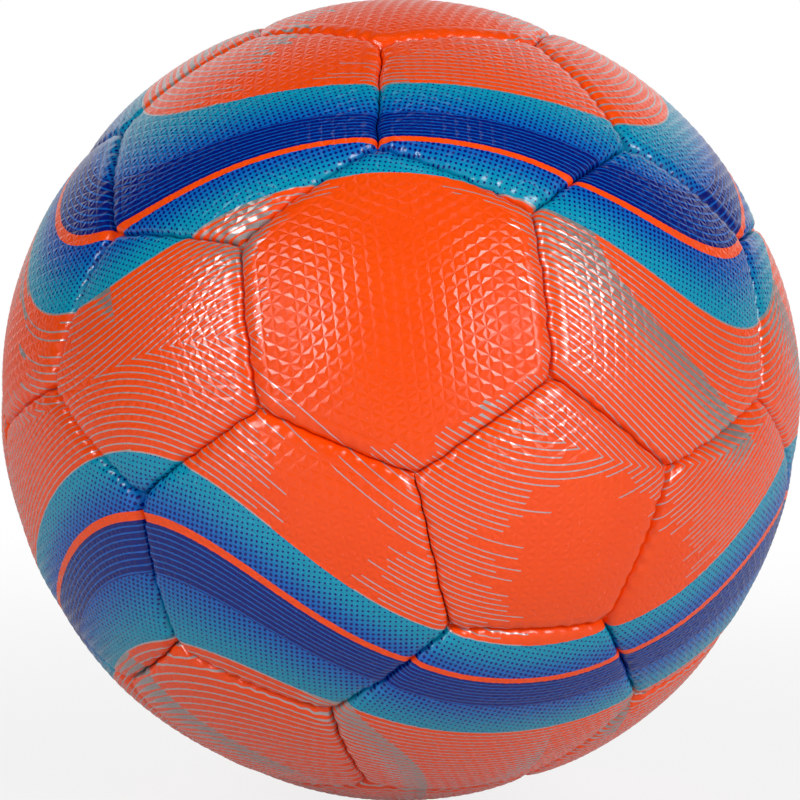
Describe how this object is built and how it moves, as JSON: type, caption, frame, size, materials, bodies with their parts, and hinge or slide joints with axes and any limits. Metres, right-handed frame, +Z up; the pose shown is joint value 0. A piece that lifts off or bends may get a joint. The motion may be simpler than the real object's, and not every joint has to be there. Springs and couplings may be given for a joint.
{
  "type": "low-bounce ball",
  "caption": "Low-bounce football for indoor play: padded hexagon and pentagon panels stitched over a stuffed rubber bladder, with a recessed needle valve.",
  "frame": {"origin": "centre of the ball, halfway between its top and the flat on which it stands", "axes": "+Z up through the middle of the top hexagon, -Y to the front, where a hexagon lies ahead and tilts up a little, +X to the right as seen from the front"},
  "size_m": [0.1994, 0.1992, 0.2002],
  "materials": {
    "panel_skin": "embossed synthetic skin, satin, vivid orange with blue and silver print",
    "waxed_thread": "waxed polyester thread",
    "bladder_rubber": "matt black butyl rubber",
    "valve_rubber": "moulded rubber, satin",
    "backing_cloth": "woven backing cloth",
    "fibre_filling": "loose fibre"
  },
  "bodies": {
    "root": {"hexagon_panel_01": "panel_skin", "hexagon_panel_02": "panel_skin", "hexagon_panel_03": "panel_skin", "hexagon_panel_04": "panel_skin", "hexagon_panel_05": "panel_skin", "hexagon_panel_06": "panel_skin", "hexagon_panel_07": "panel_skin", "hexagon_panel_08": "panel_skin", "hexagon_panel_09": "panel_skin", "hexagon_panel_10": "panel_skin", "hexagon_panel_11": "panel_skin", "hexagon_panel_12": "panel_skin", "hexagon_panel_13": "panel_skin", "hexagon_panel_14": "panel_skin", "hexagon_panel_15": "panel_skin", "hexagon_panel_16": "panel_skin", "hexagon_panel_17": "panel_skin", "hexagon_panel_18": "panel_skin", "hexagon_panel_19": "panel_skin", "valve_panel": "panel_skin", "pentagon_panel_01": "panel_skin", "pentagon_panel_02": "panel_skin", "pentagon_panel_03": "panel_skin", "pentagon_panel_04": "panel_skin", "pentagon_panel_05": "panel_skin", "pentagon_panel_06": "panel_skin", "pentagon_panel_07": "panel_skin", "pentagon_panel_08": "panel_skin", "pentagon_panel_09": "panel_skin", "pentagon_panel_10": "panel_skin", "pentagon_panel_11": "panel_skin", "pentagon_panel_12": "panel_skin", "seam_thread": "waxed_thread", "bladder": "bladder_rubber", "valve_housing": "valve_rubber", "valve_plug": "bladder_rubber", "valve_patch": "backing_cloth", "filling": "fibre_filling"}
  },
  "joints": []
}
